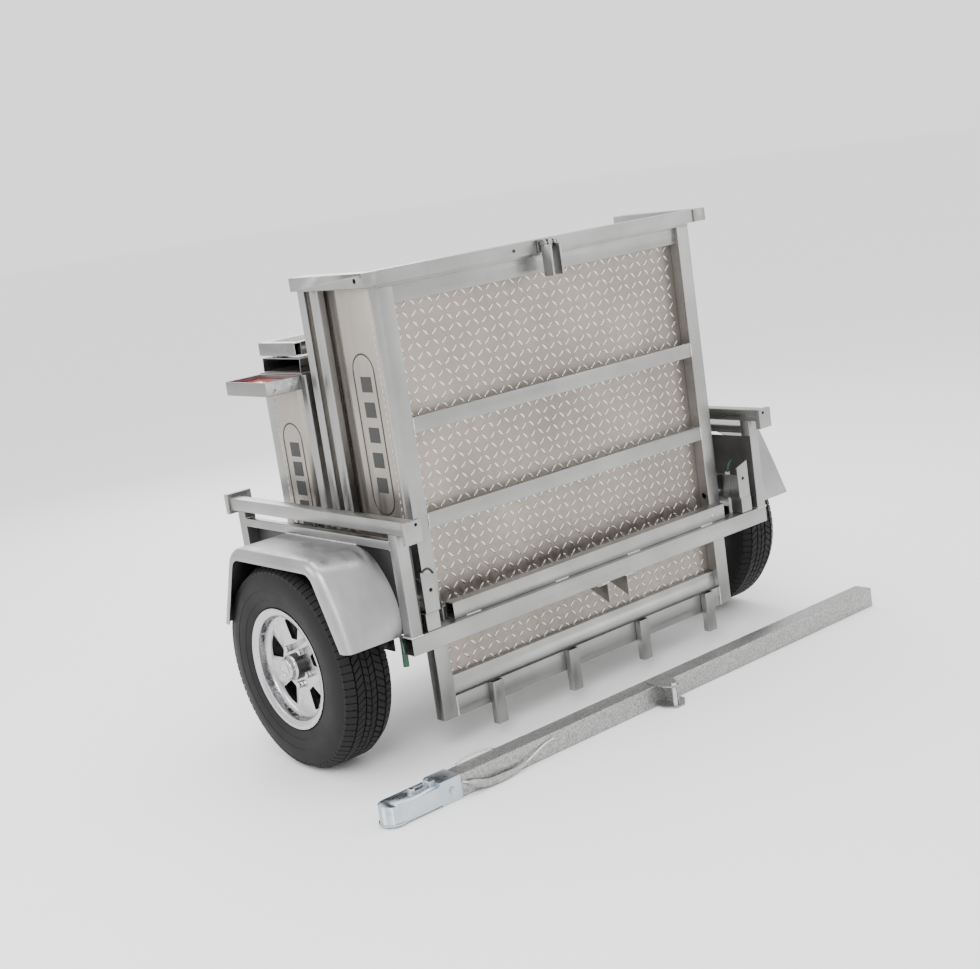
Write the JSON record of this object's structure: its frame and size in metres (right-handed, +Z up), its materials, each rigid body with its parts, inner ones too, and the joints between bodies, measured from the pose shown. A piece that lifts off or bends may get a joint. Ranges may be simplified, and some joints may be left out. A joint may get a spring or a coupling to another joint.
{
  "type": "folding utility trailer",
  "caption": "Folding aluminium utility trailer stored upright: bed halves on edge between fendered wheels, drawbar detached in front",
  "frame": {"origin": "centre of the base of the bounding box, on the ground", "axes": "+X across the trailer to the right seen from the front, +Y to its rear, +Z up"},
  "size_m": [2.034, 1.118, 1.393],
  "materials": {
    "mill_aluminium": "brushed mill finish with soft mottling",
    "tread_plate": "raised lug tread plate",
    "brushed_sheet": "brushed sheet",
    "fender_sheet": "mottled sheet",
    "dark_liner": "dull dark",
    "bright_steel": "plated",
    "black_steel": "satin black",
    "spring_rubber": "dull",
    "tyre_rubber": "dull",
    "polished_rim": "machined and polished",
    "chrome": "polished",
    "galvanised": "speckled hot-dip",
    "zinc": "bluish zinc plate",
    "cable_steel": "bright wire",
    "cover_plastic": "ribbed",
    "wire_insulation": "satin",
    "conduit_plastic": "satin",
    "lamp_housing": "satin",
    "red_lens": "clear red"
  },
  "bodies": {
    "chassis": {"cross_tubes": "mill_aluminium", "bolsters": "mill_aluminium", "side_rails": "mill_aluminium", "side_posts": "mill_aluminium", "top_rails": "mill_aluminium", "rail_end_blocks": "mill_aluminium", "side_liners": "dark_liner", "fenders": "fender_sheet", "pivot_stands": "mill_aluminium", "pivot_brackets": "mill_aluminium", "pivot_pins": "bright_steel", "drawbar_receiver": "mill_aluminium", "suspension_brackets": "black_steel", "rubber_springs": "spring_rubber", "wire_conduit": "conduit_plastic", "wiring": "wire_insulation"},
    "front_bed": {"front_bed_posts": "mill_aluminium", "front_bed_cross_members": "mill_aluminium", "front_bed_deck_plate": "tread_plate", "front_bed_side_walls": "brushed_sheet", "front_bed_wall_rails": "mill_aluminium", "front_bed_fingers": "mill_aluminium", "front_end_frame": "mill_aluminium", "front_end_wall": "mill_aluminium", "clevis_bracket": "mill_aluminium"},
    "clevis": {"clevis_ears": "mill_aluminium"},
    "rear_bed": {"rear_bed_posts": "mill_aluminium", "rear_bed_cross_members": "mill_aluminium", "rear_bed_deck_plate": "tread_plate", "rear_bed_side_walls": "brushed_sheet", "rear_bed_wall_rails": "mill_aluminium", "rear_end_ledge": "mill_aluminium", "rear_end_sill": "mill_aluminium", "rear_end_frame": "mill_aluminium", "lamp_guards": "mill_aluminium", "tail_lamps": "lamp_housing", "tail_lamp_lenses": "red_lens"},
    "drawbar": {"drawbar_tube": "galvanised", "coupler_body": "zinc", "coupler_fittings": "bright_steel", "drawbar_bracket": "galvanised", "near_safety_cable": "cable_steel", "near_cable_cover": "cover_plastic", "far_safety_cable": "cable_steel"},
    "coupler_latch": {"coupler_latch": "zinc"},
    "bracket_pin": {"bracket_pin": "bright_steel"},
    "left_arm": {"left_trailing_arm": "black_steel"},
    "left_wheel": {"left_tyre": "tyre_rubber", "left_rim": "polished_rim", "left_hub": "black_steel", "left_bearings": "bright_steel", "left_hub_cap": "chrome", "left_lug_nuts": "chrome"},
    "right_arm": {"right_trailing_arm": "black_steel"},
    "right_wheel": {"right_tyre": "tyre_rubber", "right_rim": "polished_rim", "right_hub": "black_steel", "right_bearings": "bright_steel", "right_hub_cap": "chrome", "right_lug_nuts": "chrome"}
  },
  "joints": [
    {"name": "front_bed_fold", "type": "hinge", "parent": "chassis", "child": "front_bed", "pos_m": [0, -0.221, 0.476], "axis": [1, 0, 0], "range_deg": [0, 90]},
    {"name": "rear_bed_fold", "type": "hinge", "parent": "chassis", "child": "rear_bed", "pos_m": [0, 0.4105, 0.476], "axis": [-1, 0, 0], "range_deg": [0, 90]},
    {"name": "clevis_swing", "type": "hinge", "parent": "front_bed", "child": "clevis", "pos_m": [-0.014, -0.277, 1.38], "axis": [-1, 0, 0], "range_deg": [0, 90]},
    {"name": "drawbar_lift", "type": "slide", "parent": "chassis", "child": "drawbar", "axis": [0, 0, 1], "range_m": [0, 0.25]},
    {"name": "coupler_latch_lift", "type": "hinge", "parent": "drawbar", "child": "coupler_latch", "pos_m": [-0.852, -0.46225, 0.066], "axis": [0, 1, 0], "range_deg": [0, 75]},
    {"name": "bracket_pin_pull", "type": "slide", "parent": "drawbar", "child": "bracket_pin", "axis": [0, 0, 1], "range_m": [0, 0.07]},
    {"name": "left_suspension", "type": "hinge", "parent": "chassis", "child": "left_arm", "pos_m": [-0.681, -0.061, 0.34], "axis": [1, 0, 0], "range_deg": [-3, 2.4], "stiffness_Nm_per_rad": 4000, "springref_deg": -1.15, "deforming": ["rubber_springs"]},
    {"name": "left_wheel_spin", "type": "hinge", "parent": "left_arm", "child": "left_wheel", "pos_m": [-0.82, 0.089, 0.305], "axis": [1, 0, 0], "continuous": true},
    {"name": "right_suspension", "type": "hinge", "parent": "chassis", "child": "right_arm", "pos_m": [0.681, -0.061, 0.34], "axis": [1, 0, 0], "range_deg": [-3, 2.4], "stiffness_Nm_per_rad": 4000, "springref_deg": -1.15, "deforming": ["rubber_springs"]},
    {"name": "right_wheel_spin", "type": "hinge", "parent": "right_arm", "child": "right_wheel", "pos_m": [0.82, 0.089, 0.305], "axis": [1, 0, 0], "continuous": true}
  ]
}
